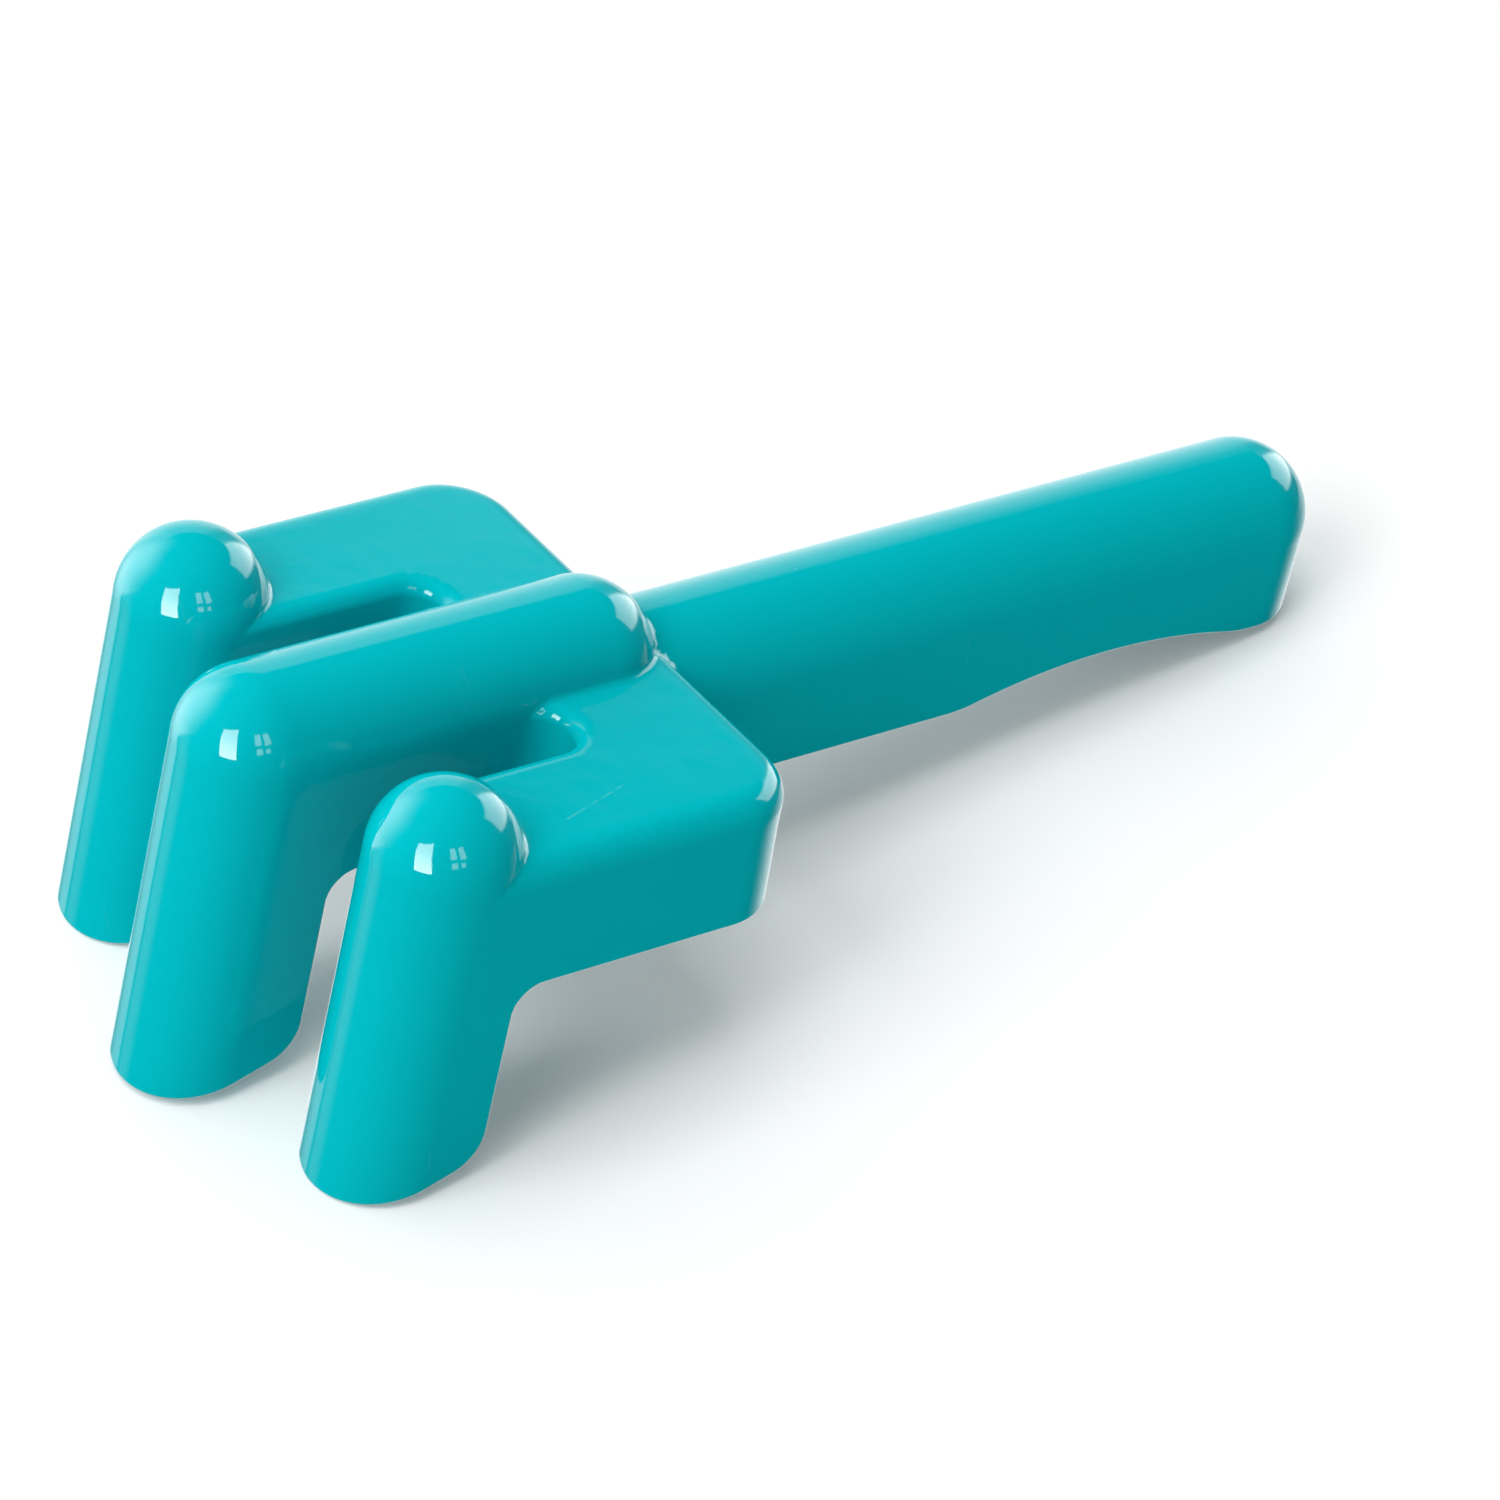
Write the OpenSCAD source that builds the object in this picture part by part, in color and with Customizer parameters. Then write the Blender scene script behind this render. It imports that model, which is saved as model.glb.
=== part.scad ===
// Sand rake: a short hand rake for the sandpit, one open-backed plastic moulding.
// It is drawn as the sections that the moulding reads as: a handle in three lengths, the bridge
// that joins the prongs, and for each of three prongs its arm, its turned-down corner and its tine.
// Lengths are in millimetres. The sections are drawn in the tool's own frame, with the flat deck
// at z = 0, the handle running towards +Y and the tines pointing down, and are then laid down
// as the rake lies on a floor: on its two outer tines and the end of its handle.

/* [Prongs] */
// Width of each arm, tine and ridge bar
prong_w = 22; // [18:0.5:28]
// Width of the slot between two prongs
gap_w = 9.3; // [6:0.1:16]
// Thickness of the moulded wall
wall = 2.5; // [1.8:0.1:3.5]

/* [Head] */
// Height of the head from its deck to its rim
head_h = 21; // [18:0.5:30]
// Length of solid deck between the back wall and the slots
bridge_l = 23.9; // [19:0.1:34]
// Plan radius of the two rear corners
corner_r = 11; // [6:0.5:14]
// Rounding of the deck's outer edge
edge_r = 4.1; // [3:0.1:5]
// Rounding of the deck's edge along a slot
slot_edge_r = 2.3; // [1:0.1:2.4]
// Lean of the back wall, in degrees
back_draft = 4; // [1:0.5:6]

/* [Ridge and domes] */
// Height of the middle ridge above the deck
ridge_rise = 8.9; // [6:0.1:10]
// Distance from the back wall to the centre of the ridge's round rear end
ridge_end = 11.4; // [11:0.1:16]
// Height of the outer domes above the deck
dome_rise = 8.6; // [6:0.1:10]

/* [Tines] */
// Distance from the back wall to the axis of an outer tine
outer_reach = 56.2; // [50:0.1:80]
// Distance from the back wall to the axis of the middle tine
middle_reach = 67.2; // [60:0.1:95]
// Length of an outer tine below the deck, at its axis
outer_tine_l = 53.6; // [45:0.1:80]
// Length of the middle tine below the deck, at its axis
middle_tine_l = 54.9; // [45:0.1:80]
// Depth of an outer tine's flat sides behind its axis
outer_side_d = 8.9; // [7:0.1:12]
// Depth of the middle tine's flat sides behind its axis
middle_side_d = 10.1; // [7:0.1:12]
// Slope of the cut tip, in degrees
tip_slope = 18.9; // [12:0.5:28]
// Rounding of the tip's rear corner
tip_r = 6.5; // [3:0.5:6.5]
// Inside rounding where a tine's rear edge turns into the head's rim
heel_r = 4.5; // [2:0.5:6]

/* [Handle] */
// Length of the handle behind the back wall
handle_l = 125; // [105:1:160]
// Width of the handle
handle_w = 22.4; // [18:0.2:26]
// Height of the handle's top above the deck
handle_rise = 1.8; // [0:0.1:2]
// Depth of the handle's rim below the deck
handle_drop = 23.6; // [22:0.1:30]
// Length of the handle's straight neck
neck_l = 56; // [35:1:60]
// Length of the hollow in the rim that the fingers lie in
waist_l = 54; // [36:1:56]
// Depth of that hollow
waist_d = 3.5; // [1:0.1:5]

/* [Hidden] */
$fn = 96;

// How far a cutting solid runs past the solid that it cuts
overrun = wall;
teal = [0.02, 0.69, 0.72];

prong_r = prong_w / 2;
prong_in_r = prong_r - wall;
pitch = prong_w + gap_w;
head_w = 3 * prong_w + 2 * gap_w;
slot_x = pitch / 2;
slot_r = gap_w / 2;
// The slots' round ends are centred here, where the arms give way to the bridge
bridge_y = -bridge_l - slot_r;

// The back wall stands upright below the rounded edge and leans out from this height down
lean_z = -edge_r - wall;

ridge_z = ridge_rise - prong_r;
dome_z = dome_rise - prong_r;
outer_y = -outer_reach;
middle_y = -middle_reach;
// A corner section ends just behind the rounding at the tine's heel
outer_corner_y = outer_y + outer_side_d + heel_r + wall / 2;
middle_corner_y = middle_y + middle_side_d + heel_r + wall / 2;
tine_top = -head_h - heel_r;

handle_r = handle_w / 2;
handle_in_r = handle_r - wall;
handle_z = handle_rise - handle_r;
butt_y = handle_l - handle_r;

// Attitude at rest: the outer tips and the end of the handle touch the floor
tip_y = outer_y - prong_r;
tip_z = -outer_tine_l - prong_r * tan(tip_slope);
rest_tilt = atan((-handle_drop - tip_z) / (handle_l - tip_y));
floor_z = tip_z * cos(rest_tilt) - tip_y * sin(rest_tilt);
// Reach of the resting rake, from the foot of the middle tine to the end of the handle
middle_tip_y = middle_y - prong_r;
middle_tip_z = -middle_tine_l - prong_r * tan(tip_slope);
rest_front = middle_tip_y * cos(rest_tilt) + middle_tip_z * sin(rest_tilt);
rest_back = butt_y * cos(rest_tilt) + handle_z * sin(rest_tilt) + handle_r;

// Lay the tool down on the floor, centred over the origin
module at_rest() {
    translate([0, -(rest_front + rest_back) / 2, -floor_z])
        rotate([-rest_tilt, 0, 0])
            children();
}

// Extrude an outline drawn in X and Z from one Y to another
module along_y(from, to) {
    translate([0, to, 0])
        rotate([90, 0, 0])
            linear_extrude(to - from)
                children();
}

// Extrude an outline drawn in Y and Z across a width in X
module along_x(width) {
    rotate([90, 0, 90])
        linear_extrude(width, center = true)
            children();
}

// Half-round bar section on flat sides, from its crown down to a rim
module bar_outline(radius, crown_z, rim_z) {
    translate([0, crown_z])
        circle(radius);
    translate([-radius, rim_z])
        square([2 * radius, crown_z - rim_z]);
}

// Strip of deck from the middle out to an edge rounded with radius r
module edge_outline(length, height, r) {
    difference() {
        translate([0, -height])
            square([length, height]);
        translate([length - r, -r])
            square([r, r]);
    }
    intersection() {
        translate([length - r, -r])
            circle(r);
        translate([length - r, -r])
            square([r, r]);
    }
}

// Handle bar

module handle_bar(from, to) {
    along_y(from, to)
        bar_outline(handle_r, handle_z, -handle_drop);
}

module handle_channel(from, to) {
    along_y(from, to)
        bar_outline(handle_in_r, handle_z, -handle_drop - overrun);
}

// The finger hollow is a shallow arc cut across the rim
module waist_cut() {
    waist_r = (pow(waist_l / 2, 2) + pow(waist_d, 2)) / (2 * waist_d);
    translate([0, neck_l + waist_l / 2, waist_d - handle_drop - waist_r])
        rotate([0, 90, 0])
            cylinder(r = waist_r, h = handle_w + 2 * overrun, center = true, $fn = 180);
}

module handle_end(radius, rim_z) {
    translate([0, butt_y, handle_z])
        sphere(radius);
    translate([0, butt_y, rim_z])
        cylinder(r = radius, h = handle_z - rim_z);
}

module handle_butt() {
    color(teal) at_rest() intersection() {
        difference() {
            handle_end(handle_r, -handle_drop);
            handle_end(handle_in_r, -handle_drop - overrun);
        }
        translate([-handle_w, butt_y, -handle_drop])
            cube([2 * handle_w, handle_w, handle_drop + handle_w]);
    }
}

module handle_grip() {
    color(teal) at_rest() difference() {
        handle_bar(neck_l, butt_y);
        handle_channel(neck_l - overrun, butt_y + overrun);
        waist_cut();
    }
}

// The neck runs up to the back wall, and its crown laps over the wall's rounded edge
module handle_neck() {
    color(teal) at_rest() difference() {
        union() {
            handle_bar(0, neck_l);
            intersection() {
                handle_bar(-edge_r, 0);
                translate([-handle_w, -edge_r, -edge_r])
                    cube([2 * handle_w, edge_r, edge_r + handle_w]);
            }
        }
        handle_channel(0, neck_l + overrun);
        head_block();
        ridge_bar(prong_r);
    }
}

// Head

// Plan of the head's rear, with the walls set in by a thickness
module head_plan(inset) {
    reach = bridge_l + prong_w;
    translate([inset - head_w / 2, -reach])
        square([head_w - 2 * inset, reach - corner_r]);
    translate([corner_r - head_w / 2, -reach])
        square([head_w - 2 * corner_r, reach - inset]);
    for (side = [-1, 1])
        translate([side * (head_w / 2 - corner_r), -corner_r])
            circle(corner_r - inset);
}

// Body of the head below its rounded edge, with an upright back wall
module upright_body() {
    intersection() {
        translate([0, 0, -head_h])
            linear_extrude(head_h - edge_r)
                head_plan(0);
        translate([-head_w, bridge_y, -head_h])
            cube([2 * head_w, head_h - bridge_y, head_h]);
    }
}

// The same body with its back wall leaning out towards the rim, from one height up to another.
// It turns about the upright corners' centres, so that equal round corners cross in one curve.
module leaning_body(inset, low, high) {
    intersection() {
        translate([0, -corner_r, lean_z])
            rotate([back_draft, 0, 0])
                translate([0, corner_r, 0])
                    linear_extrude(4 * head_h, center = true)
                        head_plan(inset);
        translate([-head_w, bridge_y, low])
            cube([2 * head_w, head_h - bridge_y, high - low]);
    }
}

// Top slice of the head, as thick as its rounded edge
module rounded_deck() {
    along_x(head_w - 2 * corner_r)
        translate([bridge_y, 0])
            edge_outline(-bridge_y, edge_r, edge_r);
    for (side = [0, 1])
        mirror([side, 0, 0]) {
            along_y(bridge_y, -corner_r)
                translate([head_w / 2 - corner_r, 0])
                    edge_outline(corner_r, edge_r, edge_r);
            translate([head_w / 2 - corner_r, -corner_r, 0])
                rotate_extrude(angle = 90)
                    edge_outline(corner_r, edge_r, edge_r);
        }
}

module head_block() {
    rounded_deck();
    upright_body();
    leaning_body(0, -head_h, -edge_r);
}

// One slot's round end, rounded over along its upper edge
module slot_cut() {
    translate([slot_x, bridge_y, -head_h - overrun])
        cylinder(r = slot_r, h = head_h + 2 * overrun);
}

module slot_edge_cut() {
    translate([slot_x, bridge_y, 0])
        rotate_extrude()
            difference() {
                translate([0, -slot_edge_r])
                    square([slot_r + slot_edge_r, slot_edge_r + overrun]);
                translate([slot_r + slot_edge_r, -slot_edge_r])
                    circle(slot_edge_r);
            }
}

module slot_wall() {
    translate([slot_x, bridge_y, -head_h - overrun])
        cylinder(r = slot_r + wall, h = head_h + overrun);
}

// Ridge on top of the bridge, with its round rear end
module ridge_bar(radius) {
    along_y(bridge_y - overrun, -ridge_end)
        translate([0, ridge_z])
            circle(radius);
    translate([0, -ridge_end, ridge_z])
        sphere(radius);
}

module head_bridge() {
    color(teal) at_rest() difference() {
        union() {
            difference() {
                head_block();
                for (side = [0, 1])
                    mirror([side, 0, 0])
                        slot_edge_cut();
            }
            intersection() {
                ridge_bar(prong_r);
                translate([-prong_w, bridge_y, ridge_z])
                    cube([2 * prong_w, bridge_l + prong_w, prong_w]);
            }
        }
        for (side = [0, 1])
            mirror([side, 0, 0])
                slot_cut();
        difference() {
            leaning_body(wall, -head_h - overrun, -wall);
            for (side = [0, 1])
                mirror([side, 0, 0])
                    slot_wall();
        }
        ridge_bar(prong_in_r);
    }
}

// Arms

// Section of an outer arm, drawn for the prong on +X
module arm_outline() {
    difference() {
        translate([pitch, 0])
            edge_outline(prong_r, head_h, edge_r);
        translate([pitch - prong_in_r, -head_h - overrun])
            square([2 * prong_in_r, head_h + overrun - wall]);
    }
    difference() {
        translate([pitch, 0])
            mirror([1, 0])
                edge_outline(prong_r, head_h, slot_edge_r);
        translate([pitch - prong_in_r, -head_h - overrun])
            square([2 * prong_in_r, head_h + overrun - wall]);
    }
}

module outer_arm() {
    along_y(outer_corner_y, bridge_y)
        arm_outline();
}

module right_arm() {
    color(teal) at_rest() outer_arm();
}

module left_arm() {
    color(teal) at_rest() mirror([1, 0, 0]) outer_arm();
}

module middle_arm() {
    color(teal) at_rest() along_y(middle_corner_y, bridge_y)
        difference() {
            bar_outline(prong_r, ridge_z, -head_h);
            bar_outline(prong_in_r, ridge_z, -head_h - overrun);
        }
}

// Turned-down corners

// Side view of a corner: full depth at the tine, stepping up to the rim through a rounded heel
module corner_side(axis_y, side_d, rear_y) {
    heel_y = axis_y + side_d;
    translate([axis_y - prong_w, tine_top])
        square([heel_y - axis_y + prong_w, prong_w - tine_top]);
    translate([axis_y, -head_h])
        square([rear_y - axis_y, head_h + prong_w]);
    difference() {
        translate([heel_y, tine_top])
            square([heel_r, heel_r]);
        translate([heel_y + heel_r, tine_top])
            circle(heel_r);
    }
}

// Upright round front of a prong with its domed top, set in by the wall for its hollow
module prong_front(axis_y, top_z, radius, low) {
    translate([0, axis_y, top_z])
        sphere(radius);
    translate([0, axis_y, low])
        cylinder(r = radius, h = top_z - low);
}

module outer_dome() {
    intersection() {
        difference() {
            union() {
                translate([pitch, 0, 0])
                    prong_front(outer_y, dome_z, prong_r, tine_top);
                along_y(outer_y, outer_corner_y) {
                    translate([pitch, 0])
                        edge_outline(prong_r, -tine_top, edge_r);
                    translate([pitch, 0])
                        mirror([1, 0])
                            edge_outline(prong_r, -tine_top, slot_edge_r);
                }
            }
            translate([pitch, 0, 0])
                prong_front(outer_y, dome_z, prong_in_r, tine_top - overrun);
            translate([pitch - prong_in_r, outer_y, tine_top - overrun])
                cube([2 * prong_in_r, outer_corner_y - outer_y + overrun, -tine_top + overrun - wall]);
        }
        translate([pitch, 0, 0])
            along_x(2 * prong_w)
                corner_side(outer_y, outer_side_d, outer_corner_y);
    }
}

module right_dome() {
    color(teal) at_rest() outer_dome();
}

module left_dome() {
    color(teal) at_rest() mirror([1, 0, 0]) outer_dome();
}

module middle_elbow() {
    color(teal) at_rest() intersection() {
        difference() {
            union() {
                prong_front(middle_y, ridge_z, prong_r, tine_top);
                along_y(middle_y, middle_corner_y)
                    bar_outline(prong_r, ridge_z, tine_top);
            }
            prong_front(middle_y, ridge_z, prong_in_r, tine_top - overrun);
            along_y(middle_y, middle_corner_y + overrun)
                bar_outline(prong_in_r, ridge_z, tine_top - overrun);
        }
        along_x(2 * prong_w)
            corner_side(middle_y, middle_side_d, middle_corner_y);
    }
}

// Tines

// Side view of a tine: a sloping cut across the tip, its rear corner rounded
module tine_side(tine_l, side_d) {
    slope = tan(tip_slope);
    front = prong_r + overrun;
    corner = [side_d, side_d * slope - tine_l];
    round_y = side_d - tip_r;
    round_z = round_y * slope - tine_l + tip_r / cos(tip_slope);
    difference() {
        polygon([
            [-front, tine_top],
            [side_d, tine_top],
            corner,
            [-front, -tine_l - front * slope]
        ]);
        difference() {
            polygon([
                [side_d, round_z],
                corner,
                [round_y + tip_r * sin(tip_slope), round_z - tip_r * cos(tip_slope)],
                [round_y, round_z]
            ]);
            translate([round_y, round_z])
                circle(tip_r);
        }
    }
}

// Plan of a tine: a half-round front on two flat sides, open at the back
module tine_plan(radius, side_d) {
    circle(radius);
    translate([-radius, 0])
        square([2 * radius, side_d]);
}

module tine(tine_l, side_d) {
    intersection() {
        translate([0, 0, -tine_l - prong_w])
            linear_extrude(tine_l + prong_w + tine_top)
                difference() {
                    tine_plan(prong_r, side_d);
                    tine_plan(prong_in_r, side_d + overrun);
                }
        along_x(2 * prong_w)
            tine_side(tine_l, side_d);
    }
}

module right_tine() {
    color(teal) at_rest() translate([pitch, outer_y, 0]) tine(outer_tine_l, outer_side_d);
}

module left_tine() {
    color(teal) at_rest() translate([-pitch, outer_y, 0]) tine(outer_tine_l, outer_side_d);
}

module middle_tine() {
    color(teal) at_rest() translate([0, middle_y, 0]) tine(middle_tine_l, middle_side_d);
}

handle_butt();
handle_grip();
handle_neck();
head_bridge();
left_arm();
middle_arm();
right_arm();
left_dome();
middle_elbow();
right_dome();
left_tine();
middle_tine();
right_tine();
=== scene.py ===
# %% [markdown]
# # A sand rake, dressed for its portrait
# The real thing is one shot of glossy plastic: a channel-section handle, a head with a raised
# ridge, and three scooped tines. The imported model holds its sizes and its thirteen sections.
# This script keeps every size, and adds what the solids leave out: the soft fillets where one
# form runs into the next, the small rounding along the rims, and the plastic itself.

# %% Load the fixed frame
import math

import bmesh
import bpy
import numpy as np
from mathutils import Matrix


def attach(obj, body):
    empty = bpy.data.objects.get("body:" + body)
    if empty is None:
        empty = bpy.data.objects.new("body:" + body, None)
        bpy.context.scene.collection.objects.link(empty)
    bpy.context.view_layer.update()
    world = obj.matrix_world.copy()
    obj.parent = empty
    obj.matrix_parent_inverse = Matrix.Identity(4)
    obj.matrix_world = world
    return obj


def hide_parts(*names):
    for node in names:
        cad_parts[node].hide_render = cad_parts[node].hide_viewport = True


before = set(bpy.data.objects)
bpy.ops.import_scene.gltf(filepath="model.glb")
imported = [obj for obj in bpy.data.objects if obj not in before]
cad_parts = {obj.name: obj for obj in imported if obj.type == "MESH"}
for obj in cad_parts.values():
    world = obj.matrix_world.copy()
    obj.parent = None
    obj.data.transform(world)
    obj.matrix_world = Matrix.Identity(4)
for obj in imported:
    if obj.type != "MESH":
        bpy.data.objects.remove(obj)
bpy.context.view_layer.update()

import openvdb
from mathutils import Matrix, Vector
from mathutils.geometry import delaunay_2d_cdt

print("sections:", len(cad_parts))

# %% [markdown]
# ## The rake's own sizes
# The solids were drawn in the tool's own frame: the flat deck at z = 0, the handle running
# towards +Y and the tines pointing down, in millimetres. The same named sizes are repeated here,
# so that every curve below starts from the length that a maker would dimension.

# %% Sizes of the prongs, head, tines and handle
prong_w = 22
gap_w = 9.3
wall = 2.5
head_h = 21
bridge_l = 23.9
corner_r = 11
edge_r = 4.1
slot_edge_r = 2.3
back_draft = math.radians(4)
ridge_rise = 8.9
ridge_end = 11.4
dome_rise = 8.6
outer_reach = 56.2
middle_reach = 67.2
outer_tine_l = 53.6
middle_tine_l = 54.9
outer_side_d = 8.9
middle_side_d = 10.1
tip_slope = math.radians(18.9)
tip_r = 6.5
heel_r = 4.5
handle_l = 125
handle_w = 22.4
handle_rise = 1.8
handle_drop = 23.6
neck_l = 56
waist_l = 54
waist_d = 3.5

prong_r = prong_w / 2
pitch = prong_w + gap_w
head_w = 3 * prong_w + 2 * gap_w
slot_x = pitch / 2
slot_r = gap_w / 2
bridge_y = -bridge_l - slot_r
lean_z = -edge_r - wall
ridge_z = ridge_rise - prong_r
dome_z = dome_rise - prong_r
outer_y = -outer_reach
middle_y = -middle_reach
outer_corner_y = outer_y + outer_side_d + heel_r + wall / 2
middle_corner_y = middle_y + middle_side_d + heel_r + wall / 2
tine_top = -head_h - heel_r
handle_r = handle_w / 2
handle_z = handle_rise - handle_r
butt_y = handle_l - handle_r
print("prongs", pitch, "mm apart, head", round(head_w, 1), "mm wide")

# %% [markdown]
# ## Fields instead of faces
# A moulder's pattern is smooth everywhere: each form flows into the next through a fillet. Solid
# booleans and bevels struggle where a fillet dies out between surfaces that come flush, as they
# do at the ridge's sides. So each form is a distance field here: at any point it gives how far
# outside the form the point is, and which way is out. Two fields join through one rule, which
# rounds their corner to a true radius at any angle and fades out by itself where they are flush.

# %% Join two fields with a rounded corner
tiny = 1e-9
nearly_flush = 0.9999


def rounded_overlap(first, second, radius):
    """Field of what lies in both forms, with its edge rounded to a radius."""
    turn = np.clip(np.sum(first[1] * second[1], axis=1), -nearly_flush, nearly_flush)
    a = first[0] + radius
    b = second[0] + radius
    past_a = a - b * turn
    past_b = b - a * turn
    spread = 1 - turn * turn
    reach = np.sqrt(np.maximum(a * a + b * b - 2 * a * b * turn, tiny) / spread)
    in_corner = (past_a > 0) & (past_b > 0)
    out_a = past_a / (spread * reach)
    out_b = past_b / (spread * reach)
    corner_way = out_a[:, None] * first[1] + out_b[:, None] * second[1]
    flat_way = np.where((first[0] > second[0])[:, None], first[1], second[1])
    distance = np.where(in_corner, reach - radius, np.maximum(first[0], second[0]))
    return distance, np.where(in_corner[:, None], corner_way, flat_way)


def inside_out(field):
    return -field[0], -field[1]


def filleted_union(first, second, radius):
    """Field of both forms together, with a fillet where they meet."""
    return inside_out(rounded_overlap(inside_out(first), inside_out(second), radius))


# %% Simple fields: a flat face, and everything near a bar with a half-round top
def flat_face(points, normal, offset):
    normal = np.array(normal, float)
    return points @ normal - offset, np.tile(normal, (len(points), 1))


def within(away, radius):
    """Field of what lies within a radius, from how far each point lies from the middle."""
    length = np.linalg.norm(away, axis=1)
    return length - radius, away / np.maximum(length, tiny)[:, None]


def standing_bar(points, x, y_from, y_to, crown_z, radius):
    """A wall of half-round section from y_from to y_to, round at both ends and at its top."""
    away = points.copy()
    away[:, 0] -= x
    away[:, 1] -= np.clip(points[:, 1], y_from, y_to)
    away[:, 2] = np.maximum(points[:, 2] - crown_z, 0)
    return within(away, radius)


# %% [markdown]
# ## The outer skin
# Seen from above, the head is a rectangle with two round rear corners and two long slots. Its
# back wall leans out a little so that the moulding leaves its tool. The ridge, the domed corners
# and the handle are bars and domes that stand in it.

# %% Plan of the head, its leaning back wall and its slots
lean_ease = 1.5


def back_lean(z):
    below = lean_z - z
    return math.tan(back_draft) * (np.sqrt(below * below + lean_ease * lean_ease) + below) / 2


def mirrored(points):
    """The same points on the +X side, and the sign that takes directions back."""
    folded = points.copy()
    folded[:, 0] = np.abs(points[:, 0])
    return folded, np.where(points[:, 0] < 0, -1.0, 1.0)


def unfolded(field, side):
    """A field found on the +X side, with its directions taken back to their own side."""
    distance, way = field
    way = way.copy()
    way[:, 0] *= side
    return distance, way


def round_front(points, centre_x, centre_y, inset):
    """A prong's half-round front, seen from above."""
    away = points - np.array([centre_x, centre_y, 0])
    away[:, 2] = 0
    return within(away, prong_r - inset)


def chosen(where, first, second):
    return np.where(where, first[0], second[0]), np.where(where[:, None], first[1], second[1])


def rear_plan(points, inset):
    beside = points[:, 0] - (head_w / 2 - corner_r)
    behind = points[:, 1] - back_lean(points[:, 2]) + corner_r
    corner = np.hypot(np.maximum(beside, 0), np.maximum(behind, 0))
    distance = corner + np.minimum(np.maximum(beside, behind), 0) - corner_r + inset
    way = np.zeros((len(points), 3))
    at_corner = (beside > 0) & (behind > 0)
    way[:, 0] = np.where(at_corner, beside / np.maximum(corner, tiny), beside >= behind)
    way[:, 1] = np.where(at_corner, behind / np.maximum(corner, tiny), behind > beside)
    ahead = (points[:, 1] < outer_y) & (points[:, 0] > pitch)
    return chosen(ahead, round_front(points, pitch, outer_y, inset), (distance, way))


def slot_wall(points, inset):
    """Everything outside a slot, as a field that grows into the slot."""
    away = np.zeros((len(points), 3))
    away[:, 0] = points[:, 0] - slot_x
    away[:, 1] = np.maximum(points[:, 1] - bridge_y, 0)
    wall_field = inside_out(within(away, slot_r + inset))
    ahead = (points[:, 1] < outer_y) & (points[:, 0] > slot_x) & (points[:, 0] <= pitch)
    wall_field = chosen(ahead, round_front(points, pitch, outer_y, inset), wall_field)
    ahead = (points[:, 1] < middle_y) & (points[:, 0] <= slot_x)
    return chosen(ahead, round_front(points, 0, middle_y, inset), wall_field)


# %% Outer skin of the whole moulding
dome_fillet = 1
ridge_fillet = 1.2
root_fillet = 1
handle_start = -5


def outer_skin(points):
    near, side = mirrored(points)
    deck = rounded_overlap(rear_plan(near, 0), flat_face(near, (0, 0, 1), 0), edge_r)
    deck = rounded_overlap(deck, slot_wall(near, 0), slot_edge_r)
    dome = standing_bar(near, pitch, outer_y, outer_y, dome_z, prong_r)
    ridge = standing_bar(near, 0, middle_y, -ridge_end, ridge_z, prong_r)
    handle = standing_bar(near, 0, handle_start, butt_y, handle_z, handle_r)
    skin = filleted_union(deck, dome, dome_fillet)
    skin = filleted_union(skin, ridge, ridge_fillet)
    return unfolded(filleted_union(skin, handle, root_fillet), side)


# %% [markdown]
# ## The hollow underside
# The plastic is one even wall thick, as a moulding must be, or it sinks where it is thick. The
# head and all three prongs share one hollow, and the handle has its own behind the back wall.

# %% Skins of the two hollows
inner_edge_r = edge_r - wall
inner_slot_r = 0.8
back_fillet = 1.2


def head_hollow(points):
    near, side = mirrored(points)
    roof = flat_face(near, (0, 0, 1), -wall)
    under = rounded_overlap(rear_plan(near, wall), roof, inner_edge_r)
    under = rounded_overlap(under, slot_wall(near, wall), inner_slot_r)
    dome = standing_bar(near, pitch, outer_y, outer_y, dome_z, prong_r - wall)
    ridge = standing_bar(near, 0, middle_y, -ridge_end, ridge_z, prong_r - wall)
    skin = filleted_union(under, dome, dome_fillet + wall)
    return unfolded(filleted_union(skin, ridge, ridge_fillet + wall), side)


def handle_hollow(points):
    bar = standing_bar(points, 0, handle_start, butt_y, handle_z, handle_r - wall)
    back_wall = flat_face(points, (0, -1, 0), 0)
    back_wall = (back_wall[0] + back_lean(points[:, 2]), back_wall[1])
    return rounded_overlap(bar, back_wall, back_fillet)


# %% [markdown]
# ## The rim
# Seen from the side, one line trims the shell: straight under the neck, hollowed for the fingers,
# stepped up to the head's rim, down each tine's rear edge through a rounded heel, and across the
# tip in a sloping cut. It is a field as well, negative where plastic stays. The outer tines and
# the longer middle one have their own line.

# %% Side line of the rim
step_y = 1.8
step_r = 1
waist_ease = 20
waist_r = ((waist_l / 2) ** 2 + waist_d ** 2) / (2 * waist_d)


def tine_line(points, reach_y, side_d, tine_l):
    rear_edge = flat_face(points, (0, 1, 0), reach_y + side_d)
    cut_way = (0, math.sin(tip_slope), -math.cos(tip_slope))
    cut_at = reach_y * math.sin(tip_slope) + tine_l * math.cos(tip_slope)
    return rounded_overlap(rear_edge, flat_face(points, cut_way, cut_at), tip_r)


def handle_line(points):
    below = flat_face(points, (0, 0, -1), handle_drop)
    away = points - np.array([0, neck_l + waist_l / 2, waist_d - handle_drop - waist_r])
    away[:, 0] = 0
    line = rounded_overlap(below, inside_out(within(away, waist_r)), waist_ease)
    return rounded_overlap(line, flat_face(points, (0, -1, 0), -step_y), step_r)


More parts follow.
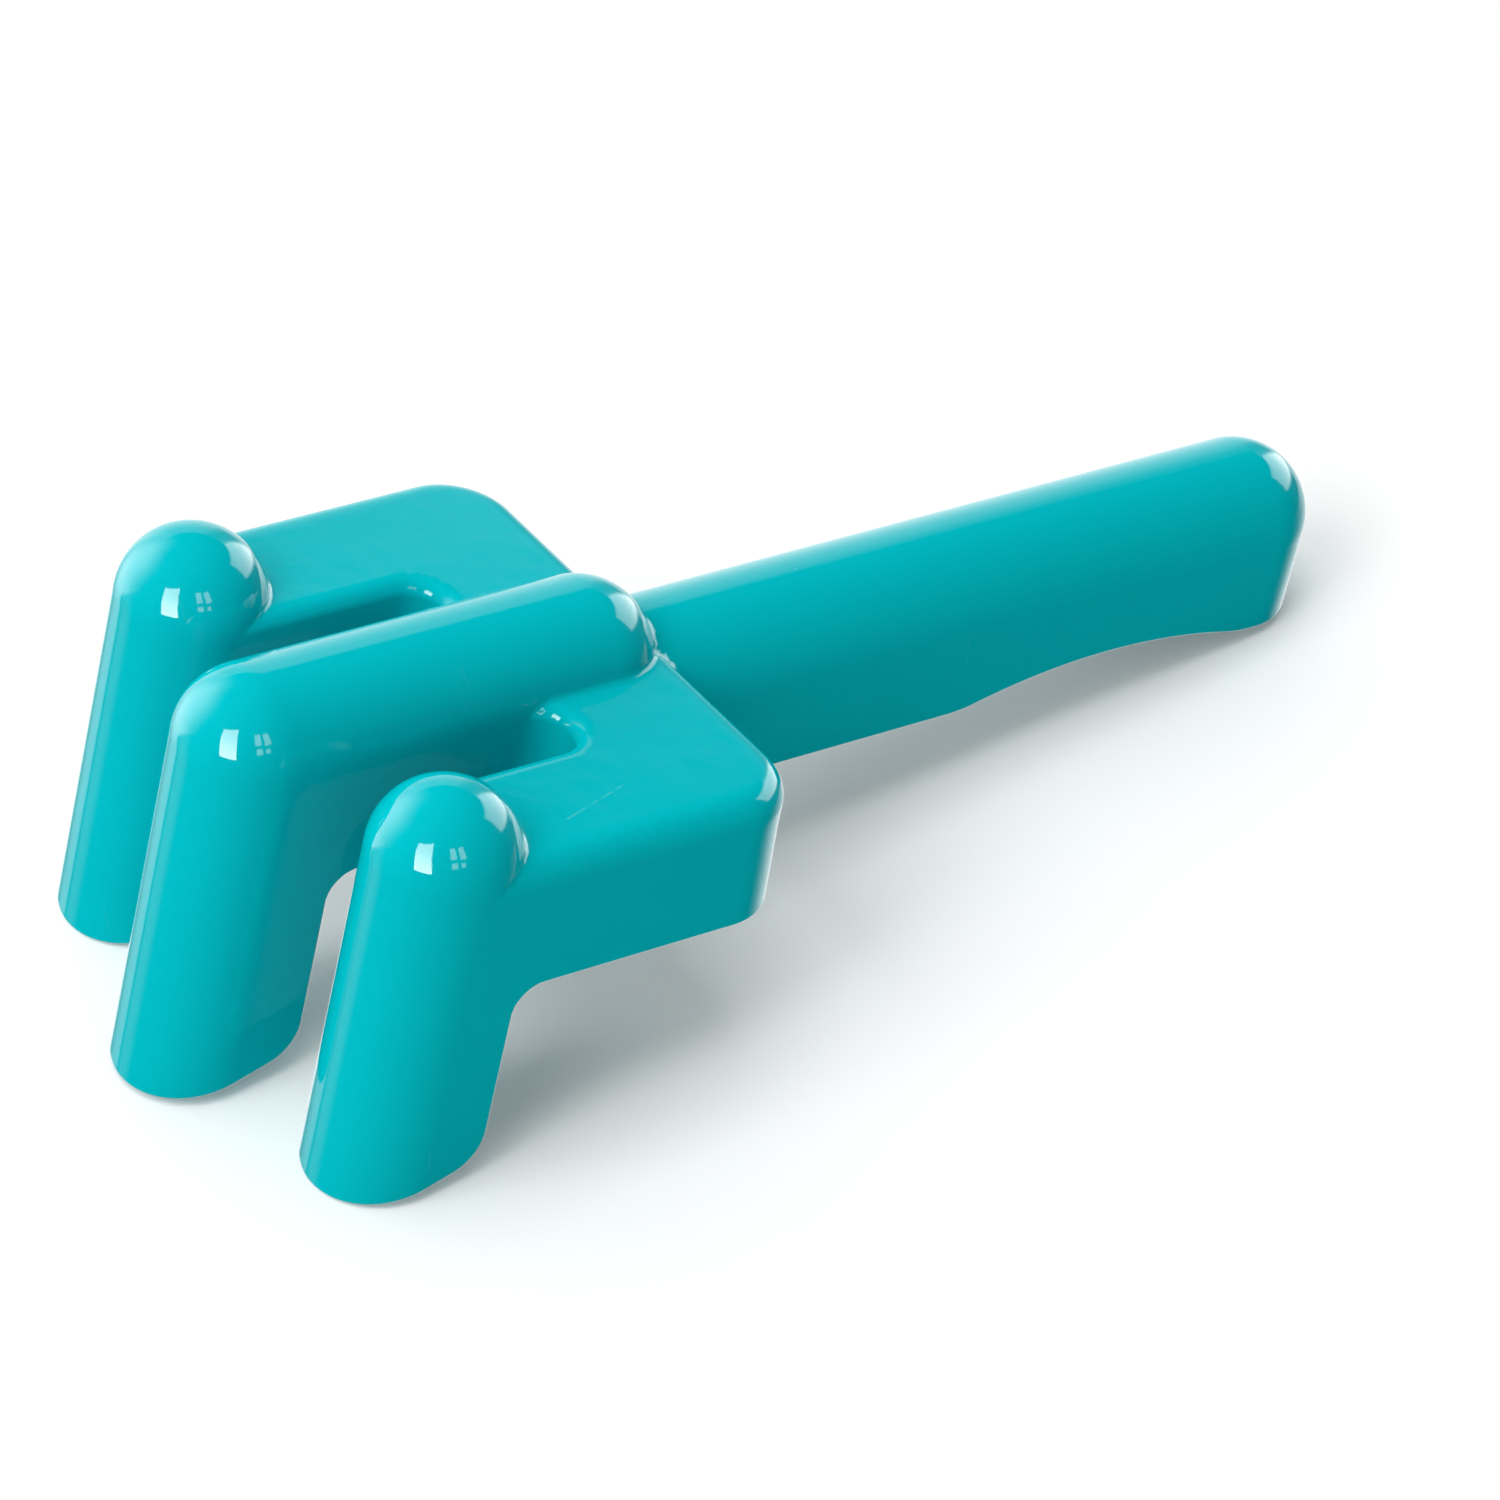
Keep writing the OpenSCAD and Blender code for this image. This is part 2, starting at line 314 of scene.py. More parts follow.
def rim_line(points):
    head = flat_face(points, (0, 0, -1), head_h)
    head = rounded_overlap(head, flat_face(points, (0, 1, 0), step_y + step_r), 0.01)
    outer = tine_line(points, outer_y, outer_side_d, outer_tine_l)
    middle = tine_line(points, middle_y, middle_side_d, middle_tine_l)
    is_outer = np.abs(points[:, 0]) > slot_x
    tine = chosen(is_outer, outer, middle)
    line = filleted_union(head, tine, heel_r)
    return filleted_union(line, handle_line(points), step_r)


# %% [markdown]
# ## From field to mesh
# A coarse grid of distances is turned into quads, which lie only roughly on the skin. Each corner
# then slides along the field's own direction until it lies exactly on it, and is evened out along
# the surface. This gives a clean mesh whose shading normals come from the field, so highlights run
# over the joins between forms without a ripple.

# %% Grid to quads, settled on the skin
grid_step = 0.9
grid_low = np.array([-45.9, -81, -63.9])
grid_high = np.array([45.9, 128, 11.7])
far_value = 3.0
least_slope = 0.25
even_rounds = 4
even_share = 0.5


def settle(points, field, rounds=4):
    """Slide points along a field's direction until they lie on its skin."""
    for _ in range(rounds):
        distance, way = field(points)
        slope = np.maximum(np.sum(way * way, axis=1), least_slope)
        points = points - (distance / slope)[:, None] * way
    return points


def true_normals(points, field, reach=0.02):
    """Directions out of a field, from the distances themselves."""
    normals = np.zeros_like(points)
    for axis in range(3):
        shift = np.zeros(3)
        shift[axis] = reach
        normals[:, axis] = field(points + shift)[0] - field(points - shift)[0]
    return normals / np.linalg.norm(normals, axis=1)[:, None]


def neighbours_mean(points, edges):
    total = np.zeros_like(points)
    count = np.zeros(len(points))
    for a, b in ((0, 1), (1, 0)):
        np.add.at(total, edges[:, a], points[edges[:, b]])
        np.add.at(count, edges[:, a], 1)
    return total / np.maximum(count, 1)[:, None]


def skin_quads(field):
    size = np.ceil((grid_high - grid_low) / grid_step).astype(int) + 1
    ticks = [grid_low[i] + grid_step * np.arange(size[i]) for i in range(3)]
    values = np.empty(size, np.float32)
    for i, x in enumerate(ticks[0]):
        y, z = np.meshgrid(ticks[1], ticks[2], indexing="ij")
        slab = np.stack([np.full(y.size, x), y.ravel(), z.ravel()], axis=1)
        values[i] = field(slab)[0].reshape(y.shape)
    grid = openvdb.FloatGrid(far_value)
    grid.copyFromArray(values)
    points, quads = grid.convertToQuads(0.0)
    points = grid_low + grid_step * np.asarray(points, float)
    quads = np.asarray(quads, int)
    points = settle(points, field)
    edges = np.concatenate([quads[:, [i, (i + 1) % 4]] for i in range(4)])
    for _ in range(even_rounds):
        move = neighbours_mean(points, edges) - points
        way = field(points)[1]
        move -= np.sum(move * way, axis=1)[:, None] * way
        points = settle(points + even_share * move, field, rounds=2)
    diagonal = points[quads[:, 2]] - points[quads[:, 0]]
    other = points[quads[:, 3]] - points[quads[:, 1]]
    facing = np.cross(diagonal, other)
    way = field(points[quads].mean(axis=1))[1]
    if np.mean(np.sum(facing * way, axis=1)) < 0:
        quads = quads[:, ::-1]
    return points, quads


# %% [markdown]
# ## Trim a skin at the rim
# The skins run on below the rim. Each is cut where the rim's line lies the rounding's radius away,
# and the corners that lie close to the cut are first moved onto it, so no thin sliver is left.

# %% Cut a skin along the rim's line
rim_r = 0.45
snap_reach = 0.28 * grid_step
open_end_z = grid_low[2] + 2 * grid_step
cut_away = 9
least_spread = 0.05


def settle_on_both(points, field, level, line_level, rounds=8):
    """Move points to where a skin's field and the rim's field both have given values."""
    for _ in range(rounds):
        first, way_a = field(points)
        second, way_b = rim_line(points)
        a = first - level
        b = second - line_level
        aa = np.sum(way_a * way_a, axis=1)
        bb = np.sum(way_b * way_b, axis=1)
        ab = np.sum(way_a * way_b, axis=1)
        area = np.maximum(aa * bb - ab * ab, least_spread)
        step_a = (a * bb - b * ab) / area
        step_b = (b * aa - a * ab) / area
        points = points - step_a[:, None] * way_a - step_b[:, None] * way_b
    return points


def sides(loop):
    """The pairs of neighbours round a loop."""
    return zip(loop, loop[1:] + loop[:1])


def trim(points, quads, field):
    """Faces above the rim, as lists of corners, with their points."""
    height = rim_line(points)[0] + rim_r
    close = np.abs(height) < snap_reach
    points = points.copy()
    points[close] = settle_on_both(points[close], field, 0.0, -rim_r)
    height[close] = 0
    height[points[:, 2] < open_end_z] = cut_away
    faces = []
    cut_edges = {}

    def cut_point(i, j):
        key = (min(i, j), max(i, j))
        return cut_edges.setdefault(key, len(points) + len(cut_edges))

    for quad in quads:
        h = height[quad]
        if np.all(h <= 0) and np.sum(h == 0) < 3:
            faces.append(list(quad))
            continue
        if np.all(h >= 0):
            continue
        for tri in (quad[[0, 1, 2]], quad[[0, 2, 3]]):
            h = height[tri]
            if np.all(h >= 0):
                continue
            corners = []
            for i, j in sides(list(tri)):
                if height[i] <= 0:
                    corners.append(i)
                if height[i] * height[j] < 0:
                    corners.append(cut_point(i, j))
            if len(corners) >= 3:
                faces.append(corners)
    if cut_edges:
        pairs = np.array(list(cut_edges))
        share = height[pairs[:, 0]] / (height[pairs[:, 0]] - height[pairs[:, 1]])
        start = points[pairs[:, 0]]
        cut = start + share[:, None] * (points[pairs[:, 1]] - start)
        cut = settle_on_both(cut, field, 0.0, -rim_r)
        points = np.concatenate([points, cut])
    used = sorted({i for face in faces for i in face})
    place = {old: new for new, old in enumerate(used)}
    return points[used], [[place[i] for i in face] for face in faces]


def open_loops(faces):
    """Loops of corners along the open edges, in the order in which the faces run."""
    once = {}
    for face in faces:
        for i, j in sides(face):
            if (j, i) in once:
                del once[(j, i)]
            else:
                once[(i, j)] = True
    following = {}
    for i, j in once:
        if i in following:
            raise RuntimeError("the rim touches itself")
        following[i] = j
    loops = []
    while following:
        start = next(iter(following))
        loop = [start]
        step = following.pop(start)
        while step != start:
            loop.append(step)
            step = following.pop(step)
        loops.append(loop)
    return loops


# %% [markdown]
# ## Round the rim over
# From each trimmed skin, rows of points turn through a quarter circle onto the flat face of the
# rim. Each row is found by asking both fields at once, so the rounding keeps its radius round the
# tips and heels.

# %% Turn the skin's edge over onto the rim
turn_rows = 4


def rounded_edge(points, faces, field, sign):
    """Add the rounding to a trimmed skin. sign is 1 for the outer skin, -1 for a hollow."""
    normals = sign * true_normals(points, field)
    loops = open_loops(faces)
    ends = []
    for loop in loops:
        row = list(loop)
        here = points[row]
        for k in range(1, turn_rows + 1):
            angle = math.pi / 2 * k / turn_rows
            level = sign * rim_r * (math.cos(angle) - 1)
            here = settle_on_both(here, field, level, rim_r * (math.sin(angle) - 1))
            out = sign * true_normals(here, field)
            down = true_normals(here, rim_line)
            facing = math.cos(angle) * out + math.sin(angle) * down
            facing /= np.linalg.norm(facing, axis=1)[:, None]
            following = list(range(len(points), len(points) + len(row)))
            points = np.concatenate([points, here])
            normals = np.concatenate([normals, facing])
            for (a, b), (c, d) in zip(sides(row), sides(following)):
                faces.append([b, a, c, d])
            row = following
        ends.append(row)
    return points, normals, faces, ends


# %% [markdown]
# ## Close the shell with the rim's flat face
# Between the outer edge and the two hollows lies the rim's own face, a wall's thickness wide. It
# is straight across the rake and only bends along its side line, so it can be unrolled flat. In
# that unrolled view one triangulation fills it, holes and all.

# %% Unroll and fill the rim
triangles_inside = 1
merge_reach = 1e-6


def unrolled(points):
    """Across the rake, and a length that grows from the handle's end to the tips."""
    y, z = points[:, 1], points[:, 2]
    behind = -y + (z + handle_drop)
    ahead = -y - (z + head_h) + (handle_drop - head_h)
    return np.stack([points[:, 0], np.where(y > bridge_y / 2, behind, ahead)], axis=1)


def rim_faces(points, loops):
    flat = unrolled(points)
    order = [i for loop in loops for i in loop]
    place = {corner: k for k, corner in enumerate(order)}
    edges = [(place[i], place[j]) for loop in loops for i, j in sides(loop)]
    coordinates = [Vector(flat[i]) for i in order]
    result = delaunay_2d_cdt(coordinates, edges, [], triangles_inside, merge_reach, True)
    if len(result[0]) != len(order):
        raise RuntimeError("the rim's outline crosses itself")
    back = [order[source[0]] for source in result[3]]
    faces = [[back[i] for i in face] for face in result[2]]
    middles = np.array([flat[face].mean(axis=0) for face in faces])
    starts = flat[order][[a for a, b in edges]]
    ends = flat[order][[b for a, b in edges]]
    crossings = np.zeros(len(middles), int)
    for start, end in zip(starts, ends):
        spans = (start[1] > middles[:, 1]) != (end[1] > middles[:, 1])
        share = (middles[:, 1] - start[1]) / ((end[1] - start[1]) or tiny)
        crossings += spans & (middles[:, 0] < start[0] + share * (end[0] - start[0]))
    faces = [face for face, count in zip(faces, crossings) if count % 2 == 1]
    a, b, c = (points[[face[k] for face in faces]] for k in range(3))
    facing = np.cross(b - a, c - a)
    down = rim_line((a + b + c) / 3)[1]
    turned = np.sum(facing * down, axis=1) < 0
    return [face[::-1] if flip else face for face, flip in zip(faces, turned)]


# %% [markdown]
# ## One shell
# The three skins and the rim are built once, together, because the moulding is one closed skin.
# It has no open edge left, which the last line measures.

# %% Build the whole shell
def whole_shell():
    all_points = np.zeros((0, 3))
    all_normals = np.zeros((0, 3))
    all_faces = []
    all_ends = []
    skins = ((outer_skin, 1), (head_hollow, -1), (handle_hollow, -1))
    for field, sign in skins:
        points, quads = skin_quads(field)
        if sign < 0:
            quads = quads[:, ::-1]
        points, faces = trim(points, quads, field)
        points, normals, faces, ends = rounded_edge(points, faces, field, sign)
        print(field.__name__, len(faces), "faces,", len(ends), "rim loop")
        start = len(all_points)
        all_points = np.concatenate([all_points, points])
        all_normals = np.concatenate([all_normals, normals])
        all_faces += [[start + i for i in face] for face in faces]
        all_ends += [[start + i for i in loop] for loop in ends]
    all_faces += rim_faces(all_points, all_ends)
    return all_points, all_normals, all_faces


shell_points, shell_normals, shell_faces = whole_shell()
print("shell:", len(shell_points), "points,", len(shell_faces), "faces")
print("open edges:", sum(len(loop) for loop in open_loops(shell_faces)))

# %% [markdown]
# ## Divide the shell into its sections
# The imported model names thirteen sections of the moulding, and each gets its own closed piece.
# Flat cuts divide the one shell, so neighbours share exactly the same edge and the same shading
# there, and no seam shows where the real plastic runs on. The handle comes off a hair behind the
# leaning back wall, because a cut in the wall's own face would leave slivers.

# %% Cut a mesh in two and cap both halves
def mesh_from(points, normals, faces):
    mesh = bmesh.new()
    layer = mesh.verts.layers.float_vector.new("facing")
    corners = [mesh.verts.new(point) for point in points]
    for corner, normal in zip(corners, normals):
        corner[layer] = normal
    mesh.faces.layers.int.new("cap")
    for face in faces:
        mesh.faces.new([corners[i] for i in face])
    return mesh


def half(mesh, place, normal):
    """What lies behind a plane, with a flat cap over the cut."""
    part = mesh.copy()
    everything = part.verts[:] + part.edges[:] + part.faces[:]
    bmesh.ops.bisect_plane(part, geom=everything, dist=1e-5, plane_co=place, plane_no=normal,
                           clear_outer=True, clear_inner=False)
    rim = [edge for edge in part.edges if len(edge.link_faces) == 1]
    filled = bmesh.ops.triangle_fill(part, use_beauty=False, use_dissolve=False, edges=rim,
                                     normal=normal)
    cap = part.faces.layers.int["cap"]
    for face in filled["geom"]:
        if isinstance(face, bmesh.types.BMFace):
            face[cap] = 1
    return part


def divide(mesh, place, normal):
    normal = Vector(normal).normalized()
    parts = half(mesh, Vector(place), normal), half(mesh, Vector(place), -normal)
    mesh.free()
    return parts


def side_part(mesh, low, high):
    """The faces of a mesh whose middle lies between two X values."""
    part = mesh.copy()
    outside = [f for f in part.faces if not low < f.calc_center_median().x < high]
    bmesh.ops.delete(part, geom=outside, context="FACES")
    return part


# %% Divide the shell
behind_wall = 0.3
sections = {}
back_way = (0, math.cos(back_draft), math.sin(back_draft))
backwards = (0, 1, 0)
whole = mesh_from(shell_points, shell_normals, shell_faces)
head_part, handle_part = divide(whole, (0, behind_wall, lean_z), back_way)
sections["handle_neck"], handle_part = divide(handle_part, (0, neck_l, 0), backwards)
sections["handle_grip"], sections["handle_butt"] = divide(handle_part, (0, butt_y, 0), backwards)
prongs, sections["head_bridge"] = divide(head_part, (0, bridge_y, 0), backwards)
prong_names = (
    ("left_tine", "left_dome", "left_arm", -head_w, -slot_x, outer_corner_y),
    ("middle_tine", "middle_elbow", "middle_arm", -slot_x, slot_x, middle_corner_y),
    ("right_tine", "right_dome", "right_arm", slot_x, head_w, outer_corner_y),
)
for tine_name, corner_name, arm_name, low, high, corner_y in prong_names:
    prong = side_part(prongs, low, high)
    front, sections[arm_name] = divide(prong, (0, corner_y, 0), backwards)
    sections[tine_name], sections[corner_name] = divide(front, (0, 0, tine_top), (0, 0, 1))
print("pieces:", {name: len(mesh.faces) for name, mesh in sorted(sections.items())})

# %% [markdown]
# ## Lay the rake down
# At rest it lies on the tips of the two outer tines and the end of its handle. The tilt follows
# from those three points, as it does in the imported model.

# %% Turn the tool's frame into the resting frame, in metres
tip_y = outer_y - prong_r
tip_z = -outer_tine_l - prong_r * math.tan(tip_slope)
rest_tilt = math.atan((-handle_drop - tip_z) / (handle_l - tip_y))
floor_z = tip_z * math.cos(rest_tilt) - tip_y * math.sin(rest_tilt)
middle_tip_z = -middle_tine_l - prong_r * math.tan(tip_slope)
rest_front = (middle_y - prong_r) * math.cos(rest_tilt) + middle_tip_z * math.sin(rest_tilt)
rest_back = butt_y * math.cos(rest_tilt) + handle_z * math.sin(rest_tilt) + handle_r
rest_turn = Matrix.Rotation(-rest_tilt, 4, "X")
rest_place = Matrix.Translation((0, -(rest_front + rest_back) / 2, -floor_z)) @ rest_turn
to_metres = Matrix.Scale(0.001, 4) @ rest_place
print("tilt at rest:", round(math.degrees(rest_tilt), 3), "degrees")


def lay_down(name, mesh):
    """Make a piece from a section of the shell, with the field's own shading normals."""
    bmesh.ops.transform(mesh, matrix=to_metres, verts=mesh.verts[:])
    layer = mesh.verts.layers.float_vector["facing"]
    cap = mesh.faces.layers.int["cap"]
    mesh.normal_update()
    turn = rest_turn.to_3x3()
    loop_normals = []
    for face in mesh.faces:
        face.smooth = True
        for corner in face.verts:
            facing = face.normal if face[cap] else (turn @ corner[layer]).normalized()
            loop_normals.append(facing)
    data = bpy.data.meshes.new(name)
    mesh.to_mesh(data)
    mesh.free()
    data.attributes.remove(data.attributes["facing"])
    data.attributes.remove(data.attributes["cap"])
    data.normals_split_custom_set(loop_normals)
    piece = bpy.data.objects.new("rake_" + name, data)
    bpy.context.scene.collection.objects.link(piece)
    return piece


pieces = {name: lay_down(name, mesh) for name, mesh in sections.items()}

# %% [markdown]
# ## The plastic
# The rake is one glossy, deep teal polypropylene, coloured right through. A single flat colour
# would look like computer plastic, so the real skin's small faults are added: pigment that is
# not quite even, a surface slightly wavy from the mould and from shrinking, hairline scratches
# and specks from sand, and a fine film of handling that dulls the gloss in patches. Most are
# node groups, so that another plastic toy could take the same faults with its own values.

# %% Colours, and nodes with their inputs fed
origin = (0.0, 0.0, 0.0)


def linear(channel):
    channel = channel / 255
    return channel / 12.92 if channel <= 0.04045 else ((channel + 0.055) / 1.055) ** 2.4


def colour(red, green, blue):
    return (linear(red), linear(green), linear(blue), 1)


def feed(tree, socket, value):
    """Link a socket, or set it if the value is a plain one."""
    if isinstance(value, bpy.types.NodeSocket):
        tree.links.new(value, socket)
    else:
        socket.default_value = value


def add_node(tree, kind, inputs=None, **settings):
    """A node with its settings made and its inputs fed, by label or by number."""
    node = tree.nodes.new(kind)
    for name, value in settings.items():
        setattr(node, name, value)
    for label, value in (inputs or {}).items():
        feed(tree, node.inputs[label], value)
    return node


# %% Numbers, soft steps, noise and vectors as nodes
def maths(tree, operation, *values):
    inputs = dict(enumerate(values))
    return add_node(tree, "ShaderNodeMath", inputs, operation=operation).outputs[0]


def ramp(tree, value, start, end, low=0.0, high=1.0):
    """A smooth step from low to high as the value goes from start to end."""
    inputs = dict(enumerate((value, start, end, low, high)))
    step = add_node(tree, "ShaderNodeMapRange", inputs, interpolation_type="SMOOTHSTEP")
    return step.outputs[0]


def noise(tree, where, scale, detail, rough=0.5):
    inputs = {"Vector": where, "Scale": scale, "Detail": detail, "Roughness": rough}
    return add_node(tree, "ShaderNodeTexNoise", inputs).outputs["Fac"]


def vector_maths(tree, operation, first, second):
    node = add_node(tree, "ShaderNodeVectorMath", {0: first, 1: second}, operation=operation)
    return node.outputs["Value"] if operation in ("DOT_PRODUCT", "LENGTH") else node.outputs[0]


def scaled(tree, vector, factor):
    inputs = {0: vector, "Scale": factor}
    return add_node(tree, "ShaderNodeVectorMath", inputs, operation="SCALE").outputs[0]


# %% Node groups with named sockets
def socket_kind(value):
    """Kind of socket for a value: a number, a vector of three or a colour of four."""
    if isinstance(value, float):
        return "NodeSocketFloat"
    return "NodeSocketVector" if len(value) == 3 else "NodeSocketColor"


def new_group(name, inputs, outputs):
    """A node group, with its sockets named and given their values, and their inner ends."""
    group = bpy.data.node_groups.new(name, "ShaderNodeTree")
    for side, values in (("INPUT", inputs), ("OUTPUT", outputs)):
        for label, value in values.items():
            kind = socket_kind(value)
            socket = group.interface.new_socket(name=label, in_out=side, socket_type=kind)
            socket.default_value = value
    start = add_node(group, "NodeGroupInput")
    end = add_node(group, "NodeGroupOutput")
    return group, start.outputs, end.inputs


# %% [markdown]
# ## Even pigment, not quite even
# Moulded colour flows in with the plastic. It leaves clouds that are a shade lighter or deeper,
# drawn out along the flow, with finer mottling in them. One noise of many sizes, stretched along
# the rake, gives both. The change is a few percent, which is all that the photograph shows.

# %% Pigment group
teal = colour(1, 183, 192)
along_flow = (1.0, 0.45, 1.0)
pigment, given, result = new_group(
    "uneven_pigment",
    {"Position": origin, "Cloud Scale": 30.0, "Colour": teal, "Strength": 0.05},
    {"Colour": teal})
stretched = vector_maths(pigment, "MULTIPLY", given["Position"], along_flow)
clouds = noise(pigment, stretched, given["Cloud Scale"], detail=6.0)
around_zero = maths(pigment, "SUBTRACT", clouds, 0.5)
around_one = maths(pigment, "MULTIPLY_ADD", around_zero, given["Strength"], 1.0)
feed(pigment, result["Colour"], scaled(pigment, given["Colour"], around_one))
print("group", pigment.name, len(pigment.nodes), "nodes")

# %% [markdown]
# ## Mould waviness
# In the photograph the edges of the reflections on the flat deck and along the handle are not
# ruler-straight. The mould was polished by hand, and the plastic sinks a little as it cools. Two
# soft noises, one about 14 mm across and one from 4 mm down, tilt it by less than a degree. The
# height is in metres, because the Bump node's distance is set to one metre of height.

# %% Waviness group
sink_scale = 70.0
polish_scale = 260.0
waviness, given, result = new_group(
    "mould_waviness",
    {"Position": origin, "Sink Height": 0.00003, "Polish Height": 0.000003},
    {"Height": 0.0})
sinks = noise(waviness, given["Position"], sink_scale, detail=1.0)
polish = noise(waviness, given["Position"], polish_scale, detail=3.0)
sink_height = maths(waviness, "MULTIPLY", sinks, given["Sink Height"])
both_heights = maths(waviness, "MULTIPLY_ADD", polish, given["Polish Height"], sink_height)
feed(waviness, result["Height"], both_heights)
print("group", waviness.name, len(waviness.nodes), "nodes")

# %% [markdown]
# ## Hairline scratches
# Sand leaves thin, nearly straight, pale lines. Each family of lines is a noise drawn out to
# about forty times its width along one direction. Only its highest crests are kept, and a
# second, broad noise keeps whole areas free, so that the scratches stay few and short.

# %% Scratch group
line_stretch = (60.0, 2600.0, 60.0)
crest_from, crest_to = 0.81, 0.85
area_from, area_to = 0.60, 0.68
scratches, given, result = new_group(
    "hairline_scratches", {"Position": origin, "Amount": 0.5}, {"Mask": 0.0})
families = []
for turn, shift in ((0.35, 0.0), (1.25, 3.1), (2.3, 7.7)):
    drawn_out = add_node(scratches, "ShaderNodeMapping", {
        "Vector": given["Position"], "Location": (shift, shift, 0.0),
        "Rotation": (0.0, 0.0, turn), "Scale": line_stretch})
    lines = noise(scratches, drawn_out.outputs[0], 1.0, detail=0.0)
    crest = ramp(scratches, lines, crest_from, crest_to)
    area = noise(scratches, given["Position"], 45.0 + 9.0 * shift, detail=0.0)
    shown = ramp(scratches, area, area_from, area_to)
    families.append(maths(scratches, "MULTIPLY", crest, shown))
together = maths(scratches, "MAXIMUM", families[0], families[1])
together = maths(scratches, "MAXIMUM", together, families[2])
feed(scratches, result["Mask"], maths(scratches, "MULTIPLY", together, given["Amount"]))
print("group", scratches.name, len(scratches.nodes), "nodes")

# %% [markdown]
# ## Specks
# A few grains and bits of dust sit on the skin. They are the centres of scattered cells, and
# most cells are left empty.

# %% Speck group
grain_edge, grain_core = 0.045, 0.02
filled_from, filled_to = 0.93, 0.94
specks, given, result = new_group(
    "sand_specks", {"Position": origin, "Scale": 160.0, "Amount": 0.5}, {"Mask": 0.0})
cells = add_node(specks, "ShaderNodeTexVoronoi",
                 {"Vector": given["Position"], "Scale": given["Scale"]}).outputs
grain = ramp(specks, cells["Distance"], grain_edge, grain_core)
cell_number = add_node(specks, "ShaderNodeSeparateColor", {0: cells["Color"]}).outputs[0]
filled = ramp(specks, cell_number, filled_from, filled_to)
grain = maths(specks, "MULTIPLY", grain, filled)
feed(specks, result["Mask"], maths(specks, "MULTIPLY", grain, given["Amount"]))
print("group", specks.name, len(specks.nodes), "nodes")

# %% [markdown]
# ## The one long scratch
# The photograph shows one scratch clearly, on the near half of the deck. It runs slantwise
# between two points, so it is drawn as the distance to a line between them.

# %% Long scratch group
break_scale = 500.0
unbroken_from, unbroken_to = 0.35, 0.55
lone, given, result = new_group(
    "single_scratch", {"Position": origin, "Start": origin, "End": origin, "Width": 0.0001},
    {"Mask": 0.0})
along = vector_maths(lone, "SUBTRACT", given["End"], given["Start"])
offset = vector_maths(lone, "SUBTRACT", given["Position"], given["Start"])
share = maths(lone, "DIVIDE", vector_maths(lone, "DOT_PRODUCT", offset, along),
              vector_maths(lone, "DOT_PRODUCT", along, along))
share = maths(lone, "MINIMUM", maths(lone, "MAXIMUM", share, 0.0), 1.0)
gap = vector_maths(lone, "SUBTRACT", offset, scaled(lone, along, share))
line = ramp(lone, vector_maths(lone, "LENGTH", gap, gap), given["Width"], 0.0)
breaks = noise(lone, given["Position"], break_scale, detail=2.0)
unbroken = ramp(lone, breaks, unbroken_from, unbroken_to)
feed(lone, result["Mask"], maths(lone, "MULTIPLY", line, unbroken))
print("group", lone.name, len(lone.nodes), "nodes")

# %% [markdown]
# ## Putting the skin together
# The gloss is polypropylene's own: an index of 1.49 and a roughness so low that window glints
# keep crisp edges. Scratches and specks are paler and duller than the skin. All positions are
# Object coordinates, so the pattern runs on across the seams between the sections.

# %% Place a group and mix two values
def place_group(tree, group, **values):
    inputs = {label.replace("_", " "): value for label, value in values.items()}
    return add_node(tree, "ShaderNodeGroup", inputs, node_tree=group).outputs[0]


def mixed(tree, kind, share, first, second):
    """The first value, which turns into the second as the share goes to 1."""
    inputs = {"Factor": share, "A": first, "B": second}
    return add_node(tree, "ShaderNodeMix", inputs, data_type=kind).outputs["Result"]


# %% Plastic material
gloss_index = 1.49
clean_roughness = 0.02
filmed_roughness = 0.05
film_scale = 55.0
film_from, film_to = 0.40, 0.75
mark_colour = colour(120, 215, 218)
mark_paleness = 0.35
mark_roughness = 0.25
mark_depth = 0.000004
scratch_start = (0.03413, -0.05448, 0.05143)
scratch_end = (0.03074, -0.04262, 0.04934)

plastic = bpy.data.materials.new("teal_plastic_gloss")
plastic.use_nodes = True
skin = plastic.node_tree
shader = skin.nodes["Principled BSDF"].inputs
at = add_node(skin, "ShaderNodeTexCoord").outputs["Object"]
body = place_group(skin, pigment, Position=at, Cloud_Scale=32.0, Colour=teal, Strength=0.1)
hairlines = place_group(skin, scratches, Position=at, Amount=0.2)
grains = place_group(skin, specks, Position=at, Scale=170.0, Amount=0.7)
deck_scratch = place_group(skin, lone, Position=at, Start=scratch_start, End=scratch_end,
                           Width=0.00016)
marks = maths(skin, "MAXIMUM", hairlines, grains)
marks = maths(skin, "MAXIMUM", marks, maths(skin, "MULTIPLY", deck_scratch, 0.9))
pale_share = maths(skin, "MULTIPLY", marks, mark_paleness)
film = noise(skin, at, film_scale, detail=4.0, rough=0.6)
gloss = ramp(skin, film, film_from, film_to, clean_roughness, filmed_roughness)
relief = place_group(skin, waviness, Position=at, Sink_Height=0.00003, Polish_Height=0.00002)
relief = maths(skin, "MULTIPLY_ADD", marks, -mark_depth, relief)
bump = add_node(skin, "ShaderNodeBump", {"Distance": 1.0, "Strength": 1.0, "Height": relief})
feed(skin, shader["IOR"], gloss_index)
feed(skin, shader["Base Color"], mixed(skin, "RGBA", pale_share, body, mark_colour))
feed(skin, shader["Roughness"], maths(skin, "MULTIPLY_ADD", marks, mark_roughness, gloss))
feed(skin, shader["Normal"], bump.outputs["Normal"])

for name, piece in pieces.items():
    piece.data.materials.append(plastic)
    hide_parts(name)
    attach(piece, "root")
print("finished", len(pieces), "pieces in", plastic.name)

